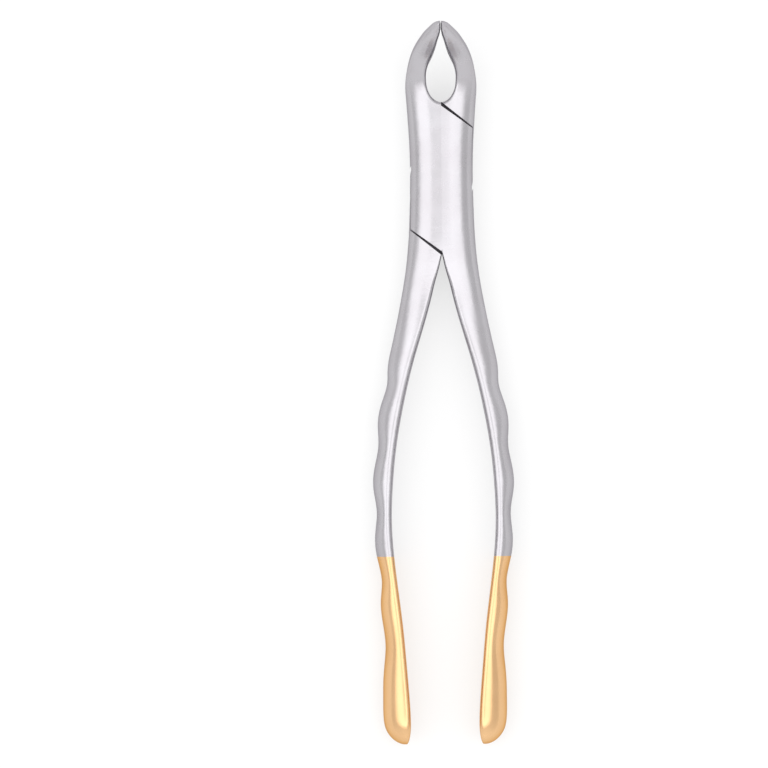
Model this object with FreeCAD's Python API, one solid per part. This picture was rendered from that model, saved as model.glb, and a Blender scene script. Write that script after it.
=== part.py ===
"""Extraction forceps with a box joint, lying on its back with the beaks curved upward.

Frame, in millimetres: X across the handles, Y along the instrument with the beaks at +Y, Z up.
The pivot pin stands on the Z axis, and Z = 0 is the flat ground on the back of the joint.

Two forged halves cross in the joint. The box half is the left beak, the two cheeks and the right
handle. The tongue half is the right beak, the tongue between the cheeks and the left handle.
"""

import FreeCAD
import Part

import math
import os

V = FreeCAD.Vector
os.makedirs("parts", exist_ok=True)

# ---------------------------------------------------------------- driving dimensions
handle_length = 136.9       # pivot to the end of a handle
handle_span = 34.1          # across both handles at the widest finger swell
beak_length = 38.1          # pivot to the beak tips, seen from above
beak_rise = 18.9            # how far the tips rise above the middle plane of the joint
joint_width = 15.2          # across the waist of the joint
joint_depth = 11.9          # front to back over the crowns of the joint
back_flat_depth = 0.14      # ground off the crowned back of the joint
shank_depth = 9.2           # depth of a handle just behind the joint
grip_depth = 9.9            # depth of a handle at the fingers
plating_start = 91.4        # pivot to where the gold plating of the handle starts
handle_edge = 1.25          # reach of the rounding along the inner edges of a handle
end_rounding = 5.9          # how far up a handle its rounded end reaches

# the box joint
shoulder_reach = 14.55      # pivot to the shoulder lines, square to them
shoulder_angle = 38.6       # slope of the shoulders of the tongue half, in degrees
seam_gap = 0.32             # between a shoulder and its cheek at the side of the joint
seam_flare = 2.8            # how many degrees further back the edge of a cheek leans
opening_angle = 30.0        # how far the tongue half swings
tongue_thickness = 4.2
tongue_play = 0.05          # between the tongue and each cheek
web_clearance = 0.12        # between the swinging tongue and the closed edges of the box
relief_depth = 0.42         # how far the cheeks stand off the tongue at their open edges
relief_start = 1.5          # from the level of the pivot to where that relief begins
pin_radius = 2.3
pin_play = 0.035            # radial, between the pin and the tongue

handles_part = 0.7          # the handles part this far above the place where their seams meet

# the gap between the beaks
tip_front = 0.75            # how far the front of a tip rounds back
beak_gap = 0.06             # each tip stands this far from the middle plane when closed
tip_contact = 2.1           # length of the tips along which the beaks come together
gap_width = 7.2             # across the widest place of the gap
gap_bottom = 5.4            # length of its round bottom, up to that widest place
gap_drop = 0.12             # how far its bottom reaches below the place where the seams meet
front_rim = 0.85            # rounding of the rim of the gap in front
back_rim = 0.55             # rounding of the rim of the gap at the back

# the hollow that carries the serrations, on the inner face of each beak
hollow_depth = 0.45
hollow_width = 2.7
hollow_length = 10.3
hollow_margin = 1.6         # from its upper end to the tips, seen from above
hollow_steps = 8

crown = 2.4                 # exponent of the crowned sections: 2 is an ellipse
handle_crown = 1.65         # exponent of the handles' sections, which rise to a soft ridge
beak_crown = 4.2            # exponent of the flatter front of a beak
crown_points = 9            # points on a quarter of the crown
edge_points = 4
flat_points = 3

half_width = joint_width / 2
half_depth = joint_depth / 2
half_span = handle_span / 2
middle = half_depth - back_flat_depth   # height of the middle plane above the resting plane
tall = 4 * joint_depth                  # taller than the instrument, for cuts through it
far = handle_length + beak_length       # further than any point of it
crotch = shoulder_reach / math.cos(math.radians(shoulder_angle))    # where the seams meet
gap_start = crotch - gap_drop
gap_widest = gap_start + gap_bottom
gap_end = beak_length - tip_contact
hollow_to = beak_length - hollow_margin
hollow_from = hollow_to - hollow_length


# ---------------------------------------------------------------- curves along the instrument
def spline(points):
    """A natural cubic spline through (position, value) points, as a function of position."""
    xs, ys = zip(*sorted(points))
    last = len(xs) - 1
    step = [xs[i + 1] - xs[i] for i in range(last)]
    slope = [(ys[i + 1] - ys[i]) / step[i] for i in range(last)]
    ratio = [0.0] * (last + 1)
    carry = [0.0] * (last + 1)
    for i in range(1, last):
        pivot = 2 * (xs[i + 1] - xs[i - 1]) - step[i - 1] * ratio[i - 1]
        ratio[i] = step[i] / pivot
        carry[i] = (3 * (slope[i] - slope[i - 1]) - step[i - 1] * carry[i - 1]) / pivot
    bend = [0.0] * (last + 1)
    for i in range(last - 1, 0, -1):
        bend[i] = carry[i] - ratio[i] * bend[i + 1]

    def value(x):
        i = min(last - 1, max(0, sum(1 for known in xs if known <= x) - 1))
        t = x - xs[i]
        start = slope[i] - step[i] * (2 * bend[i] + bend[i + 1]) / 3
        return ys[i] + t * (start + t * (bend[i] + t * (bend[i + 1] - bend[i]) / (3 * step[i])))

    return value


def along_handle(points, scale):
    """Points given as shares of the handle's length, turned to (y, value) points."""
    return [(-handle_length * at, scale * share) for at, share in points]


# Outer edge: waist of the joint, then five finger swells and the swollen end, from the pivot down.
outer_handle = spline(
    [(0.0, half_width), (-7.4, half_width * 1.02), (-13.2, half_width * 1.05)]
    + along_handle([(0.150, 0.505), (0.203, 0.570), (0.260, 0.660), (0.305, 0.740), (0.337, 0.784),
                    (0.361, 0.790), (0.400, 0.883), (0.436, 0.929), (0.471, 0.922), (0.507, 0.974),
                    (0.542, 1.0), (0.590, 0.951), (0.633, 0.979), (0.672, 0.946), (0.711, 0.887),
                    (0.746, 0.903), (0.785, 0.877), (0.824, 0.840), (0.869, 0.866), (0.920, 0.879),
                    (0.966, 0.868), (1.0, 0.845)], half_span))

# Inner edge: the gap between the handles opens behind the joint and closes in at the ends.
inner_handle = spline(
    [(0.0, -handle_edge * 0.4), (-13.0, -handle_edge * 0.4), (-16.0, -handle_edge * 0.34),
     (handles_part - crotch, 0.0)]
    + along_handle([(0.150, 0.029), (0.175, 0.085), (0.203, 0.141), (0.260, 0.264),
                    (0.316, 0.399), (0.373, 0.516), (0.430, 0.610), (0.486, 0.680), (0.542, 0.721),
                    (0.600, 0.739), (0.655, 0.718), (0.725, 0.655), (0.796, 0.586), (0.866, 0.537),
                    (0.937, 0.495), (1.0, 0.480)], half_span))

handle_half_depth = spline(
    [(0.0, half_depth), (-10.0, half_depth), (-17.0, half_depth * 0.965)]
    + along_handle([(0.20, 1.0), (0.28, 0.965)], shank_depth / 2)
    + along_handle([(0.45, 0.97), (0.60, 1.0), (0.72, 1.02)], grip_depth / 2)
    + along_handle([(0.83, 0.925), (0.925, 0.98), (1.0, 0.965)], middle))

handle_power = spline([(0.0, crown), (-10.0, crown), (-18.0, crown),
                       (-32.0, (crown + 2 * handle_crown) / 3), (-46.0, handle_crown),
                       (-60.0, handle_crown), (-handle_length, handle_crown)])

edge_reach = spline([(0.0, handle_edge * 0.4), (-16.0, handle_edge * 0.4), (-24.0, handle_edge * 0.7),
                     (-34.0, handle_edge), (-90.0, handle_edge), (-handle_length, handle_edge)])

# A beak in side view: its back edge and its front edge as shares of its length and rise, its outer
# edge as a share of the joint's half width, and how far its front has turned flat, from 0 to 1.
beak_stations = [
    (0.260, -0.315, 0.260, 0.315, 1.030, 0.0),
    (0.400, -0.315, 0.400, 0.315, 1.075, 0.06),
    (0.486, -0.311, 0.515, 0.316, 1.110, 0.25),
    (0.533, -0.283, 0.570, 0.323, 1.130, 0.50),
    (0.583, -0.200, 0.615, 0.341, 1.132, 0.75),
    (0.655, -0.036, 0.655, 0.383, 1.105, 0.92),
    (0.748, 0.165, 0.703, 0.452, 1.040, 1.0),
    (0.815, 0.325, 0.756, 0.547, 0.950, 1.0),
    (0.873, 0.490, 0.806, 0.662, 0.822, 1.0),
    (0.920, 0.628, 0.853, 0.778, 0.668, 0.95),
    (0.957, 0.742, 0.895, 0.872, 0.505, 0.85),
    (0.984, 0.836, 0.930, 0.943, 0.335, 0.70),
]

# The rounded end of a beak: how far on, how wide and how deep, as shares of its last section.
tip_rounding = [(0.30, 0.80, 0.92), (0.55, 0.58, 0.76), (0.75, 0.39, 0.55), (0.88, 0.22, 0.33),
                (0.95, 0.11, 0.16)]


def beak_curve(across, up):
    """A curve of the beak in side view or in width, from pairs of values of its stations."""
    points = [(across(station), up(station)) for station in beak_stations]
    (y0, z0), (y1, z1) = points[-2:]
    return spline(points + [(y1 + 3 * (y1 - y0), z1 + 3 * (z1 - z0))])


def station_middle(station):
    return beak_length * (station[0] + station[2]) / 2


back_edge = beak_curve(lambda s: beak_length * s[0], lambda s: middle + beak_rise * s[1])
front_edge = beak_curve(lambda s: beak_length * s[2], lambda s: middle + beak_rise * s[3])
beak_middle = beak_curve(station_middle, lambda s: middle + beak_rise * (s[1] + s[3]) / 2)
beak_side = spline([(station_middle(s), half_width * s[4]) for s in beak_stations])
beak_flatness = spline([(station_middle(s), s[5]) for s in beak_stations])

# The sides of the gap above its widest place, closing in to the clearance behind the tips.
gap_sides = spline([(gap_widest + (gap_end - gap_widest) * at,
                     beak_gap + (gap_width / 2 - beak_gap) * share)
                    for at, share in ((-0.12, 0.985), (0.0, 1.0), (0.174, 0.970), (0.289, 0.855),
                                      (0.413, 0.680), (0.587, 0.425), (0.711, 0.300),
                                      (0.835, 0.155), (1.0, 0.0))])


# ---------------------------------------------------------------- sections of one side
def quarter(width, height, power):
    """A crown from its crest out to its side, as (across, up) points without the last one."""
    turns = [math.pi / 2 * i / crown_points for i in range(crown_points)]
    return [(width * math.sin(turn) ** (2 / power), height * math.cos(turn) ** (2 / power))
            for turn in turns]


def section(outer, crest, inner, reach, front_power, back_power, shrink=1.0):
    """Points of one section in its own plane, starting at the middle of its flat inner face.

    outer and inner are the two sides in X, reach is half the depth, and the crown's crest lies
    where the inner rounding ends. shrink draws the section in round its crest, to close an end.
    """
    edge = crest - inner
    upper = [(inner, (reach - edge) * i / flat_points) for i in range(flat_points)]
    for i in range(edge_points):
        turn = math.pi / 2 * i / edge_points
        upper.append((crest - edge * math.cos(turn), reach - edge + edge * math.sin(turn)))
    lower = [(x, -z) for x, z in upper[1:]]
    upper += [(crest + x, z) for x, z in quarter(outer - crest, reach, front_power)]
    lower += [(crest + x, -z) for x, z in quarter(outer - crest, reach, back_power)]
    around = upper + [(outer, 0.0)] + lower[::-1]
    return [(crest + shrink * (x - crest), shrink * z) for x, z in around]


def placed(points, back, front):
    """Section points stood up between a back and a front point of the side view."""
    mid_y = (back[0] + front[0]) / 2
    mid_z = (back[1] + front[1]) / 2
    depth = math.hypot(front[0] - back[0], front[1] - back[1])
    lean_y = (front[0] - back[0]) / depth
    lean_z = (front[1] - back[1]) / depth
    return [V(x, mid_y + z * lean_y, mid_z + z * lean_z) for x, z in points]


def handle_section(y, shrink=1.0):
    reach = handle_half_depth(y)
    inner = inner_handle(y)
    power = handle_power(y)
    points = section(outer_handle(y), inner + edge_reach(y), inner, reach, power, power, shrink)
    return placed(points, (y, middle - reach), (y, middle + reach))


def beak_section(station):
    back = (station[0] * beak_length, middle + station[1] * beak_rise)
    front = (station[2] * beak_length, middle + station[3] * beak_rise)
    reach = math.hypot(front[0] - back[0], front[1] - back[1]) / 2
    power = crown + (beak_crown - crown) * station[5]
    points = section(station[4] * half_width, 0.0, -handle_edge * 0.4, reach, power, crown)
    return placed(points, back, front)


def tip_sections():
    """The rounded end of a beak: its last section moved on and drawn in towards its front."""
    last = beak_sections[-1]
    before = beak_sections[-2]
    heading = sum(last, V()) / len(last) - sum(before, V()) / len(before)
    heading = V(0, heading.y, heading.z).normalize()
    frontward = V(0, -heading.z, heading.y)
    width = max(point.x for point in last)
    depth = max(point.dot(frontward) for point in last)
    sections = []
    for ahead, wide, deep in tip_rounding:
        sections.append([V(point.x * wide, point.y, point.z) + heading * width * ahead
                         - frontward * (point.dot(frontward) - depth) * (1 - deep)
                         - frontward * tip_front * (1 - deep) for point in last])
    return sections


handle_sections = [handle_section(-handle_length + end_rounding * (1 - math.cos(math.radians(a))),
                                  math.sin(math.radians(a)))
                   for a in (7, 14, 24, 36, 50, 66)]
handle_sections += [handle_section(-handle_length * at)
                    for at in (0.955, 0.92, 0.885, 0.855, 0.825, 0.80, 0.775, 0.75, 0.73, 0.71, 0.69,
                               0.665, 0.64, 0.615, 0.59, 0.57, 0.55, 0.53, 0.51, 0.49, 0.47, 0.455,
                               0.435, 0.415, 0.395, 0.375, 0.358, 0.34, 0.32, 0.295, 0.265, 0.235,
                               0.205, 0.18, 0.16, 0.14, 0.12, 0.095, 0.05)]
handle_sections.append(handle_section(0.0))
beak_sections = [beak_section(station) for station in beak_stations]


def lengths_along(points, shortest=0.0):
    """Running lengths from point to point, starting at zero."""
    lengths = [0.0]
    for here, ahead in zip(points, points[1:]):
        lengths.append(lengths[-1] + max((ahead - here).Length, shortest))
    return lengths


def skin(sections, pattern):
    """A solid skinned smoothly through closed sections, with a flat cap at each end.

    The section called pattern sets how the points are spaced round all of them.
    """
    around = lengths_along(sections[pattern] + sections[pattern][:1])
    rows = []
    for points in sections:
        curve = Part.BSplineCurve()
        curve.interpolate(Points=points, PeriodicFlag=True, Parameters=around)
        rows.append(curve.getPoles())
    round_knots = curve.getKnots()
    round_mults = curve.getMultiplicities()
    along = lengths_along([sum(row, V()) / len(row) for row in rows], 0.25)
    columns = []
    for column in zip(*rows):
        curve = Part.BSplineCurve()
        curve.interpolate(Points=list(column), Parameters=along)
        columns.append(curve.getPoles())
    poles = [list(line) for line in zip(*columns)]
    surface = Part.BSplineSurface()
    surface.buildFromPolesMultsKnots(poles, curve.getMultiplicities(), round_mults,
                                     curve.getKnots(), round_knots, False, True, 3, 3)
    side = surface.toShape()
    ends = [Part.Face(Part.Wire(surface.uIso(at).toShape())) for at in (along[0], along[-1])]
    shell = Part.makeShell([side] + ends)
    shell.sewShape()
    solid = Part.makeSolid(shell)
    if solid.Volume < 0:
        solid.reverse()
    return solid


# ---------------------------------------------------------------- cutting shapes
def block(x0, x1, y0, y1, z0, z1):
    return Part.makeBox(x1 - x0, y1 - y0, z1 - z0, V(x0, y0, z0))


def turned(shape, angle=180):
    """The shape turned about the pivot."""
    copy = shape.copy()
    copy.rotate(V(0, 0, 0), V(0, 0, 1), angle)
    return copy


def beyond(reach, flare=0.0):
    """Everything past a line sloping down to the right at this distance from the pivot.

    With a flare, the line turns further down about the place where it leaves the joint's side.
    """
    past = block(-far, far, 0, far, -tall, tall)
    past.rotate(V(0, 0, 0), V(0, 0, 1), -shoulder_angle + flare)
    slope = math.radians(shoulder_angle)
    past.translate(V(half_width, (reach - half_width * math.sin(slope)) / math.cos(slope), 0))
    return past


def half_gap(y):
    """Half the gap between the beaks: a round bottom, then long sides that close in."""
    if y < gap_widest:
        return gap_width / 2 * math.sqrt(1 - ((gap_widest - y) / (gap_widest - gap_start)) ** 2)
    return gap_sides(y)


def gap_outline():
    """Points round the gap seen from above, anticlockwise, each with its way into the metal."""
    right = []
    for i in range(1, 5):
        turn = math.pi / 2 * i / 5
        y = gap_widest - (gap_widest - gap_start) * math.cos(turn)
        right.append((half_gap(y), y))
    right += [(half_gap(y), y) for y in
              [gap_widest + (gap_end - gap_widest) * i / 8 for i in range(9)]]
    right += [(beak_gap + wider, gap_end + ahead) for wider, ahead in (
        (0.0, 0.8), (0.02, 1.6), (0.2, 2.5), (0.8, 3.8), (1.4, 5.2), (1.0, 6.6))]
    points = [(0.0, gap_start)] + right + [(0.0, gap_end + 7.2)]
    points += [(-x, y) for x, y in reversed(right)]
    outline = []
    for i, (x, y) in enumerate(points):
        before = points[i - 1]
        after = points[(i + 1) % len(points)]
        way = V(after[1] - before[1], before[0] - after[0], 0).normalize()
        outline.append((x, y, way))
    return outline


def gap_loop(edge, side, power_at, offset, depth):
    """The gap's outline moved out by an offset, at a depth under the front or the back."""
    loop = []
    for x, y, way in gap_outline():
        x += way.x * offset
        y += way.y * offset
        at = min(y, beak_length) + max(0, y - beak_length) / 5
        slope = (edge(at + 0.05) - edge(at - 0.05)) / 0.1
        reach = (front_edge(at) - back_edge(at)) / 2
        width = max(beak_side(at), 2 * abs(x))
        power = power_at(at)
        drop = reach * (1 - (1 - (abs(x) / width) ** power) ** (1 / power))
        loop.append(V(x, y, edge(at) - side * (drop + depth * math.hypot(1, slope))))
    return loop


def gap_cutter():
    """The gap between the beaks, cut straight through, with its rims rounded over."""
    def front_power(y):
        return crown + (beak_crown - crown) * min(1, max(0, beak_flatness(y)))

    def rounding(edge, side, power_at, radius):
        loops = [gap_loop(edge, side, power_at, 2.3 * radius, -1.2 * radius)]
        for angle in (76, 60, 42, 22, 0):
            turn = math.radians(angle)
            loops.append(gap_loop(edge, side, power_at, radius * (1 - math.cos(turn)),
                                  radius * (1 - math.sin(turn))))
        return loops

    back = rounding(back_edge, -1, lambda y: crown, back_rim)
    front = rounding(front_edge, 1, front_power, front_rim)
    between = [[low + (high - low) * share for low, high in zip(back[-1], front[-1])]
               for share in (0.33, 0.67)]
    below = [[point - V(0, 0, drop) for point in back[0]] for drop in (4, 1.5, 0.5)]
    above = [[point + V(0, 0, rise) for point in front[0]] for rise in (0.5, 1.5, 4)]
    floor = [V(point.x, point.y, -joint_depth) for point in back[0]]
    roof = [V(point.x, point.y, middle + beak_rise + joint_depth) for point in front[0]]
    loops = [floor] + below + back + between + front[::-1] + above + [roof]
    return skin(loops, len(below) + len(back))


def serration_hollow():
    """A shallow spoon along the inner face of the right beak, skinned over ellipses."""
    sections = []
    for i in range(hollow_steps + 1):
        share = 0.015 + 0.97 * i / hollow_steps
        y = hollow_from + (hollow_to - hollow_from) * share
        ahead = V(0, 0.1, beak_middle(y + 0.1) - beak_middle(y)).normalize()
        across = V(0, -ahead.z, ahead.y)
        size = math.sqrt(1 - (2 * share - 1) ** 2)
        centre = V(half_gap(y) if y < gap_end else beak_gap, y, beak_middle(y))
        turns = [2 * math.pi * j / 16 for j in range(16)]
        sections.append([centre + V(hollow_depth * size * math.cos(turn), 0, 0)
                         + across * (hollow_width / 2 * size * math.sin(turn)) for turn in turns])
    return skin(sections, hollow_steps // 2)


def tongue_prism(clearance, radius):
    """The tongue seen from above: a disc about the pivot, and its tangents from the crotches."""
    corner = V(-clearance, crotch, -tall)
    away = math.hypot(clearance, crotch)
    turn = math.atan2(crotch, -clearance) + math.acos(radius / away)
    ends = [turn + (math.pi - turn) * share for share in (0, 0.5, 1)]
    arc = [V(radius * math.cos(angle), radius * math.sin(angle), -tall) for angle in ends]
    wide = 2 * half_width
    corners = [V(wide, 0, -tall), V(wide, crotch * 1.4, -tall), corner + (corner - arc[0]) * 0.4,
               arc[0]]
    half = [Part.makeLine(a, b) for a, b in zip(corners, corners[1:])]
    half += [Part.Arc(*arc).toShape(), Part.makeLine(arc[2], V(-wide, 0, -tall))]
    return Part.Face(Part.Wire(half + [turned(edge) for edge in half])).extrude(V(0, 0, 2 * tall))


# ---------------------------------------------------------------- one side of the instrument
right_side = skin(handle_sections + beak_sections + tip_sections(), len(handle_sections) // 2)
right_side = right_side.common(block(0, far, -far, far, 0, tall))
right_side = right_side.cut(gap_cutter()).cut(serration_hollow())
left_side = right_side.mirror(V(0, 0, 0), V(1, 0, 0))

# ---------------------------------------------------------------- the box joint
past_shoulder = beyond(shoulder_reach)
past_cheek = beyond(shoulder_reach - seam_gap, seam_flare)
half_tongue = tongue_thickness / 2
slot_half = half_tongue + tongue_play
slot_end = 1.4 * shoulder_reach
slot_profile = Part.Face(Part.makePolygon([V(-far, y, middle + z) for y, z in (
    (-slot_end, -slot_half - relief_depth), (-relief_start, -slot_half), (relief_start, -slot_half),
    (slot_end, -slot_half - relief_depth), (slot_end, slot_half + relief_depth),
    (relief_start, slot_half), (-relief_start, slot_half), (-slot_end, slot_half + relief_depth),
    (-slot_end, -slot_half - relief_depth))])).extrude(V(2 * far, 0, 0))
swing_radius = half_width / math.cos(math.radians(opening_angle / 2)) + web_clearance
slot = slot_profile.common(tongue_prism(web_clearance, swing_radius))
slab = block(-far, far, -slot_end, slot_end, middle - half_tongue, middle + half_tongue)

box_half = left_side.cut(turned(past_cheek)).fuse(right_side.cut(past_cheek))
joint_body = left_side.fuse(right_side)
tongue = joint_body.common(slab).common(tongue_prism(0.0, half_width))
tongue_half = right_side.common(past_shoulder).fuse(left_side.common(turned(past_shoulder)))
tongue_half = tongue_half.fuse(tongue)
box_half = box_half.cut(slot)

pin = Part.makeCylinder(pin_radius, 2 * tall, V(0, 0, -tall))
pin_bore = Part.makeCylinder(pin_radius + pin_play, 2 * tall, V(0, 0, -tall))
pivot_pin = joint_body.common(pin)
box_half = box_half.cut(pin)
tongue_half = tongue_half.cut(pin_bore)

plated = block(-far, far, -far, -plating_start, -tall, tall)
nodes = {
    "box_half": box_half.cut(plated),
    "box_half_gold_end": box_half.common(plated),
    "tongue_half": tongue_half.cut(plated),
    "tongue_half_gold_end": tongue_half.common(plated),
    "pivot_pin": pivot_pin,
}
for name, shape in nodes.items():
    shape.exportStep("parts/" + name + ".step")
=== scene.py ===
"""Extraction forceps: satin-polished stainless steel with gold-plated grip ends.

The instrument lies on its back, beaks curved up at +Y, pivot axis on the Z axis. Metres.
"""

import math

import bmesh
import bpy
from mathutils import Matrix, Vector
from mathutils.bvhtree import BVHTree


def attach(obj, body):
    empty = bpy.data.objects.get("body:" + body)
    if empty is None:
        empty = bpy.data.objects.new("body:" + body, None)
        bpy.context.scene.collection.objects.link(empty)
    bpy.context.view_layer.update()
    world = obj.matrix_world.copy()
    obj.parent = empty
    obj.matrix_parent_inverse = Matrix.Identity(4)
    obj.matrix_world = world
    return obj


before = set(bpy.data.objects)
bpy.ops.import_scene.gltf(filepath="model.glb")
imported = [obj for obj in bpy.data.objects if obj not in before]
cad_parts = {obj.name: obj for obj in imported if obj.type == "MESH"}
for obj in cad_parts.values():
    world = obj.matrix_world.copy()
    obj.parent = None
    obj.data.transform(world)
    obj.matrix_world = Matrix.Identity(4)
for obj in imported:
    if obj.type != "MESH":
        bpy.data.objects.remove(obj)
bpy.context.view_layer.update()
MM = 0.001


# ---------------------------------------------------------------- sizes, in millimetres
JOINT_MIDDLE = 5.81             # height of the middle plane of the joint
SHOULDER_ANGLE = 38.6           # slope of the seams across the joint, in degrees
SEAM_REACH = (13.7, 14.65)      # a seam's two walls lie between these distances from the pivot
SLOT_HALF = 2.7                 # half the height of the slot in the side of the joint
SLOT_REACH = 20.4               # the slot ends this far from the pivot, along the instrument
WALL_EDGE = 0.02                # the dull skin and painted shade of the walls fade out over this much
SLOT_EDGE = 0.1                 # and over this much at the ends of the slot
GRAIN_SIZE = 0.35               # the buffing wheel's grain in the metal
GRAIN_DEPTH = 0.003

SERRATION_PITCH = 0.52
SERRATION_HEIGHT = 0.22
SERRATION_WIDTH = 2.6           # of the toothed oval, across a beak
SERRATION_GRID = (30, 150)      # faces across and along the oval, 5 or 6 to a tooth
SERRATION_ROOT = 0.02           # the grooves reach this far under the hollow's own surface
SERRATION_BACKING = 0.25        # thickness of the piece behind the teeth, inside the beak

# The middle line of a beak in side view (y, z), through the middles of its sections, from just
# inside the lower end of the spoon-shaped hollow to just inside its upper end.
BEAK_LINE = [(26.35, 10.35), (27.64, 11.64), (29.93, 14.05), (31.98, 16.70), (33.78, 19.10),
             (35.28, 21.06), (36.30, 22.40)]

# ---------------------------------------------------------------- other settings
COLOUR_A, COLOUR_B, COLOUR_OUT = 6, 7, 2    # the colour sockets of a Mix node
BELT_LINE = 0.03                # width of a line left by the belt, as a share of its length

# Cosines of the angle between a wall's normal and the seam's, or the vertical, at which the dull
# skin and painted shade of the walls start and are full.
FACING_SEAM = (0.95, 0.97)
FACING_SLOT = (0.92, 0.95)

# The toothed oval is 0 at its middle and 1 on its outline, growing with the square of the
# distance. The teeth have their full height up to the first of these, and none from the second
# on, and the piece ends at the third.
TEETH_FULL, TEETH_END, OVAL_RIM = 0.85, 0.97, 1.02

SOFT_BOX = 1.9                  # brightness of the soft boxes
END_GAIN = 0.45                 # how much brighter the tent is toward the instrument's two ends
TENT_LEAN = 7                   # degrees
TENT_SQUEEZE = 3.0              # the ring of soft boxes is this much narrower along the instrument
# Degrees from straight up, and the brightness there.
TENT = [(90, 0.80), (67, 0.80), (51, SOFT_BOX), (18, SOFT_BOX), (8, 1.00), (0, 0.90)]
FLOOR_REACH = 3.0               # metres from the instrument to each edge of the floor

VIEW_WIDTH = 185.9              # millimetres of the instrument that the view takes in
VIEW_LEVEL = 6                  # height in millimetres where the view is that wide
VIEW_CENTRE = (-14.25, -49.6)
VIEW_TURN = -0.4                # degrees, to follow the lie of the handles
LENS, SENSOR = 1000.0, 36.0     # a long lens, from about 5 metres above


# ---------------------------------------------------------------- small helpers
def linear(hex_colour):
    """An sRGB hex colour as linear red, green, blue and full alpha."""
    channels = [int(hex_colour[i:i + 2], 16) / 255 for i in (1, 3, 5)]
    return tuple(c / 12.92 if c <= 0.04045 else ((c + 0.055) / 1.055) ** 2.4
                 for c in channels) + (1.0,)


def add(tree, kind, settings=None, links=None):
    """A shader node with its settings, and each named input linked from an output or set."""
    node = tree.nodes.new(kind)
    for name, value in (settings or {}).items():
        setattr(node, name, value)
    for name, source in (links or {}).items():
        if isinstance(source, bpy.types.NodeSocket):
            tree.links.new(source, node.inputs[name])
        else:
            node.inputs[name].default_value = source
    return node


def new_material(name):
    """An empty material and its node tree."""
    material = bpy.data.materials.new(name)
    material.use_nodes = True
    material.node_tree.nodes.clear()
    return material, material.node_tree


def finished(name, shape, material):
    """An object at the origin from a bmesh, with its place in its mesh, and a material."""
    mesh = bpy.data.meshes.new(name)
    shape.to_mesh(mesh)
    shape.free()
    mesh.materials.append(material)
    piece = bpy.data.objects.new(name, mesh)
    bpy.context.scene.collection.objects.link(piece)
    return piece


# ---------------------------------------------------------------- materials
def where_all(tree, tests):
    """1 where the size of each value, whatever its sign, passes its test, else 0.

    A test is a value, the size at which it starts to count, and the size where it counts in full.
    """
    passed = 1.0
    for value, start, full in tests:
        size = add(tree, "ShaderNodeMath", {"operation": "ABSOLUTE"}, {0: value})
        edge = add(tree, "ShaderNodeMapRange", {"interpolation_type": "SMOOTHSTEP"}, {
            "Value": size.outputs["Value"], "From Min": start, "From Max": full,
            "To Max": passed})
        passed = edge.outputs["Result"]
    return passed


def unpolished_and_shaded_walls(tree, place):
    """1 on the walls of the slot and of the seams, where no belt or buff can reach.

    They are found by where they lie and by which way they face. There the steel keeps its rougher
    dull skin, and its colour is painted darker as the shade in the gaps.
    """
    slope = math.radians(SHOULDER_ANGLE)
    across_seam = (math.sin(slope), math.cos(slope), 0.0)
    spot = add(tree, "ShaderNodeSeparateXYZ", {}, {"Vector": place.outputs["Object"]})
    facing = add(tree, "ShaderNodeSeparateXYZ", {}, {"Vector": place.outputs["Normal"]})
    reach = add(tree, "ShaderNodeVectorMath", {"operation": "DOT_PRODUCT"}, {
        0: place.outputs["Object"], 1: across_seam})
    facing_seam = add(tree, "ShaderNodeVectorMath", {"operation": "DOT_PRODUCT"}, {
        0: place.outputs["Normal"], 1: across_seam})
    height = add(tree, "ShaderNodeMath", {"operation": "SUBTRACT"}, {
        0: spot.outputs["Z"], 1: JOINT_MIDDLE * MM})
    nearest, farthest = SEAM_REACH
    seam = where_all(tree, [
        (reach.outputs["Value"], (nearest - WALL_EDGE) * MM, nearest * MM),
        (reach.outputs["Value"], (farthest + WALL_EDGE) * MM, farthest * MM),
        (facing_seam.outputs["Value"], *FACING_SEAM)])
    slot = where_all(tree, [
        (height.outputs["Value"], (SLOT_HALF + WALL_EDGE) * MM, SLOT_HALF * MM),
        (spot.outputs["Y"], (SLOT_REACH + SLOT_EDGE) * MM, SLOT_REACH * MM),
        (facing.outputs["Z"], *FACING_SLOT)])
    either = add(tree, "ShaderNodeMath", {"operation": "MAXIMUM"}, {0: seam, 1: slot})
    return either.outputs["Value"]


def polishing(tree, place, line_width, line_depth):
    """The relief of the lengthwise lines left by the belt and of the buffing wheel's faint grain.

    The real lines and grain are a few hundredths of a millimetre wide, too fine to show, so they
    are drawn as coarse as line_width and GRAIN_SIZE, in millimetres.
    """
    stretched = add(tree, "ShaderNodeMapping", {}, {
        "Vector": place.outputs["Object"], "Scale": (1.0, BELT_LINE, 1.0)})
    lines = add(tree, "ShaderNodeTexNoise", {}, {
        "Vector": stretched.outputs["Vector"], "Scale": 1 / (line_width * MM), "Detail": 4.0})
    grain = add(tree, "ShaderNodeTexNoise", {}, {
        "Vector": place.outputs["Object"], "Scale": 1 / (GRAIN_SIZE * MM), "Detail": 2.0})
    line_relief = add(tree, "ShaderNodeBump", {}, {
        "Height": lines.outputs["Fac"], "Strength": 1.0, "Distance": line_depth * MM})
    relief = add(tree, "ShaderNodeBump", {}, {
        "Height": grain.outputs["Fac"], "Strength": 1.0, "Distance": GRAIN_DEPTH * MM,
        "Normal": line_relief.outputs["Normal"]})
    return relief.outputs["Normal"]


def cloudy(tree, place, size, low, high):
    """A value that drifts softly between two limits, over patches of a size in millimetres."""
    cloud = add(tree, "ShaderNodeTexNoise", {}, {
        "Vector": place.outputs["Object"], "Scale": 1 / (size * MM), "Detail": 3.0})
    drift = add(tree, "ShaderNodeMapRange", {}, {
        "Value": cloud.outputs["Fac"], "From Min": 0.3, "From Max": 0.7,
        "To Min": low, "To Max": high})
    return drift.outputs["Result"]


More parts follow.
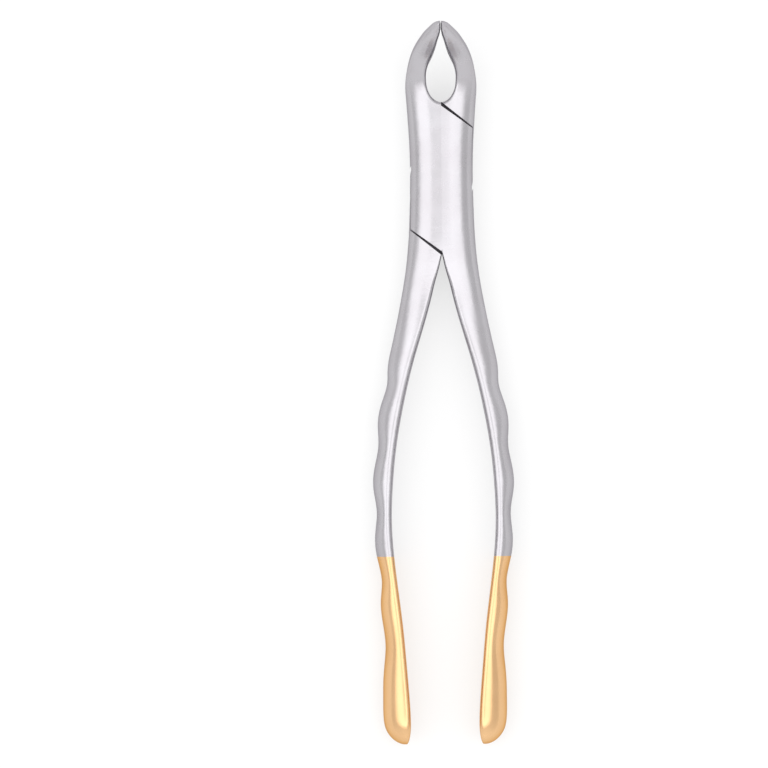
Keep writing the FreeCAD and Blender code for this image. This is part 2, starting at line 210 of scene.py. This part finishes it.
def satin_stainless():
    """Forged martensitic stainless steel, belt-ground and buffed to a satin: broad soft
    highlights, faint lengthwise lines, slightly cloudy gloss. The walls of the slot and the
    seams keep the rougher dull skin of the milling and hardening, and are painted darker as
    shade in the gaps, so the seams read as dark lines."""
    material, tree = new_material("satin_polished_stainless_steel")
    place = add(tree, "ShaderNodeTexCoord")
    dull_and_shaded = unpolished_and_shaded_walls(tree, place)
    tint = add(tree, "ShaderNodeMix", {"data_type": "RGBA"}, {
        "Factor": cloudy(tree, place, 9, 0.0, 1.0),
        COLOUR_A: linear("#B7B4B8"), COLOUR_B: linear("#BCBABE")})
    # Painted shade: the walls of the seams and the slot get a darker colour, as well as their
    # rougher dull skin.
    colour = add(tree, "ShaderNodeMix", {"data_type": "RGBA"}, {
        "Factor": dull_and_shaded, COLOUR_A: tint.outputs[COLOUR_OUT], COLOUR_B: linear("#656267")})
    gloss = add(tree, "ShaderNodeMix", {"data_type": "FLOAT"}, {
        "Factor": dull_and_shaded, "A": cloudy(tree, place, 6, 0.24, 0.30), "B": 0.48})
    surface = add(tree, "ShaderNodeBsdfPrincipled", {}, {
        "Base Color": colour.outputs[COLOUR_OUT], "Metallic": 1.0,
        "Roughness": gloss.outputs["Result"], "Specular Tint": linear("#C8C6C9"),
        "Normal": polishing(tree, place, 0.25, 0.006)})
    add(tree, "ShaderNodeOutputMaterial", {}, {"Surface": surface.outputs["BSDF"]})
    return material


def gold_plate():
    """A thin bright gold plating over the buffed steel: warm pale gold, glossier than the steel,
    with the steel's own soft polishing lines showing through."""
    material, tree = new_material("polished_gold_plating")
    place = add(tree, "ShaderNodeTexCoord")
    tint = add(tree, "ShaderNodeMix", {"data_type": "RGBA"}, {
        "Factor": cloudy(tree, place, 8, 0.0, 1.0),
        COLOUR_A: linear("#E4B989"), COLOUR_B: linear("#E8BE8E")})
    surface = add(tree, "ShaderNodeBsdfPrincipled", {}, {
        "Base Color": tint.outputs[COLOUR_OUT], "Metallic": 1.0,
        "Roughness": cloudy(tree, place, 5, 0.19, 0.25), "Specular Tint": linear("#D9BC98"),
        "Normal": polishing(tree, place, 0.3, 0.004)})
    add(tree, "ShaderNodeOutputMaterial", {}, {"Surface": surface.outputs["BSDF"]})
    return material


def cut_steel():
    """The serrations are cut after polishing: crisp bright flanks, slightly rougher metal."""
    material, tree = new_material("cut_serration_steel")
    place = add(tree, "ShaderNodeTexCoord")
    surface = add(tree, "ShaderNodeBsdfPrincipled", {}, {
        "Base Color": linear("#B4B2B5"), "Metallic": 1.0,
        "Roughness": cloudy(tree, place, 0.6, 0.28, 0.38)})
    add(tree, "ShaderNodeOutputMaterial", {}, {"Surface": surface.outputs["BSDF"]})
    return material


def white_table():
    """A plain white table top that glows a little, so that it stays white around the metal."""
    material, tree = new_material("white_table")
    surface = add(tree, "ShaderNodeBsdfPrincipled", {}, {
        "Base Color": linear("#979797"), "Roughness": 0.8, "Specular IOR Level": 0.1,
        "Emission Color": (1, 1, 1, 1), "Emission Strength": 0.62})
    add(tree, "ShaderNodeOutputMaterial", {}, {"Surface": surface.outputs["BSDF"]})
    return material


steel = satin_stainless()
gold = gold_plate()
serration_steel = cut_steel()
finishes = {"box_half": steel, "tongue_half": steel, "pivot_pin": steel,
            "box_half_gold_end": gold, "tongue_half_gold_end": gold}
for node, finish in finishes.items():
    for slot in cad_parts[node].material_slots:
        slot.material = finish


# ---------------------------------------------------------------- serrated inner faces
def beak_line(share):
    """The point (y, z) a share of the way up the middle line of a beak, and its direction."""
    lengths = [math.dist(a, b) for a, b in zip(BEAK_LINE, BEAK_LINE[1:])]
    left = share * sum(lengths)
    for (start, end), length in zip(zip(BEAK_LINE, BEAK_LINE[1:]), lengths):
        if left <= length or end == BEAK_LINE[-1]:
            heading = Vector((end[0] - start[0], end[1] - start[1])) / length
            return Vector(start) + heading * left, heading
        left -= length


def ridge(distance):
    """A saw profile from 0 in the groove to 1 on the crest, one tooth to each pitch."""
    return 1 - abs(2 * (distance / SERRATION_PITCH % 1) - 1)


def serrated_face(name, node, body, side):
    """Pyramid teeth cut crosswise and lengthwise in the spoon-shaped hollow of one beak.

    side is +1 where the beak's metal lies toward +X and -1 where it lies toward -X. The teeth
    start as a flat grid, which is laid along the beak's middle line and pressed onto the metal.
    """
    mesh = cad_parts[node].data
    beak = BVHTree.FromPolygons([v.co for v in mesh.vertices],
                                [tuple(p.vertices) for p in mesh.polygons])
    columns, rows = SERRATION_GRID
    teeth = bmesh.new()
    bmesh.ops.create_grid(teeth, x_segments=columns, y_segments=rows, size=0.5)
    length = sum(math.dist(a, b) for a, b in zip(BEAK_LINE, BEAK_LINE[1:]))
    outside = []
    for vert in teeth.verts:
        across = vert.co.x * SERRATION_WIDTH
        share = vert.co.y + 0.5
        centre, heading = beak_line(share)
        y = centre.x - heading.y * across
        z = centre.y + heading.x * across
        hit = beak.ray_cast(Vector((0.0, y * MM, z * MM)), Vector((side, 0, 0)))[0]
        oval = (2 * vert.co.x) ** 2 + (2 * share - 1) ** 2
        if hit is None or oval > OVAL_RIM:
            outside.append(vert)
            continue
        tooth = min(ridge(across + SERRATION_PITCH / 2), ridge(share * length))
        fade = min(1, max(0, (TEETH_END - oval) / (TEETH_END - TEETH_FULL)))
        rise = SERRATION_HEIGHT * tooth * fade - SERRATION_ROOT
        vert.co = Vector((hit.x - side * rise * MM, y * MM, z * MM))
    bmesh.ops.delete(teeth, geom=outside, context="VERTS")
    back = bmesh.ops.extrude_face_region(teeth, geom=teeth.faces[:])["geom"]
    bmesh.ops.translate(teeth, vec=(side * SERRATION_BACKING * MM, 0, 0),
                        verts=[part for part in back if isinstance(part, bmesh.types.BMVert)])
    bmesh.ops.recalc_face_normals(teeth, faces=teeth.faces[:])
    piece = finished(name, teeth, serration_steel)
    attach(piece, body)


serrated_face("serrations_of_box_half", "box_half", "box_body", -1)
serrated_face("serrations_of_tongue_half", "tongue_half", "tongue_body", 1)


# ---------------------------------------------------------------- floor, light and camera
def floor():
    """A plain table top that reaches well past the view on every side."""
    grid = bmesh.new()
    bmesh.ops.create_grid(grid, x_segments=1, y_segments=1, size=FLOOR_REACH)
    finished("floor", grid, white_table())


def light_tent():
    """A ring of soft boxes overhead, wide across the instrument and narrow along it, round a
    darker place straight above, with a duller horizon. The whole tent is brighter toward the
    instrument's two ends, and the ring leans a little to the left."""
    world = bpy.data.worlds.new("light_tent")
    world.use_nodes = True
    tree = world.node_tree
    tree.nodes.clear()
    toward = add(tree, "ShaderNodeTexCoord")
    leaned = add(tree, "ShaderNodeMapping", {}, {
        "Vector": toward.outputs["Generated"], "Rotation": (0.0, math.radians(TENT_LEAN), 0.0)})
    narrowed = add(tree, "ShaderNodeVectorMath", {"operation": "MULTIPLY"}, {
        0: leaned.outputs["Vector"], 1: (1.0, TENT_SQUEEZE, 1.0)})
    direction = add(tree, "ShaderNodeVectorMath", {"operation": "NORMALIZE"}, {
        0: narrowed.outputs["Vector"]})
    upward = add(tree, "ShaderNodeSeparateXYZ", {}, {"Vector": direction.outputs["Vector"]})
    ramp = add(tree, "ShaderNodeValToRGB", {}, {"Fac": upward.outputs["Z"]})
    elements = ramp.color_ramp.elements
    while len(elements) < len(TENT):
        elements.new(0.5)
    for element, (from_vertical, brightness) in zip(elements, TENT):
        share = brightness / SOFT_BOX
        element.position = math.cos(math.radians(from_vertical))
        element.color = (share, share, share, 1.0)
    lengthwise = add(tree, "ShaderNodeSeparateXYZ", {}, {"Vector": toward.outputs["Generated"]})
    toward_ends = add(tree, "ShaderNodeMath", {"operation": "ABSOLUTE"}, {
        0: lengthwise.outputs["Y"]})
    strength = add(tree, "ShaderNodeMath", {"operation": "MULTIPLY_ADD"}, {
        0: toward_ends.outputs["Value"], 1: SOFT_BOX * END_GAIN, 2: SOFT_BOX})
    glow = add(tree, "ShaderNodeBackground", {}, {
        "Color": ramp.outputs["Color"], "Strength": strength.outputs["Value"]})
    add(tree, "ShaderNodeOutputWorld", {}, {"Surface": glow.outputs["Background"]})
    bpy.context.scene.world = world


def camera():
    """Straight above the instrument, turned a touch to follow its handles."""
    lens = bpy.data.cameras.new("camera")
    lens.sensor_width = SENSOR
    lens.lens = LENS
    lens.clip_end = 10.0
    height = VIEW_WIDTH * MM * LENS / SENSOR + VIEW_LEVEL * MM
    eye = bpy.data.objects.new("camera", lens)
    eye.location = (VIEW_CENTRE[0] * MM, VIEW_CENTRE[1] * MM, height)
    eye.rotation_euler = (0.0, 0.0, math.radians(VIEW_TURN))
    bpy.context.scene.collection.objects.link(eye)
    bpy.context.scene.camera = eye


bpy.context.scene.view_settings.view_transform = "Standard"
floor()
light_tent()
camera()
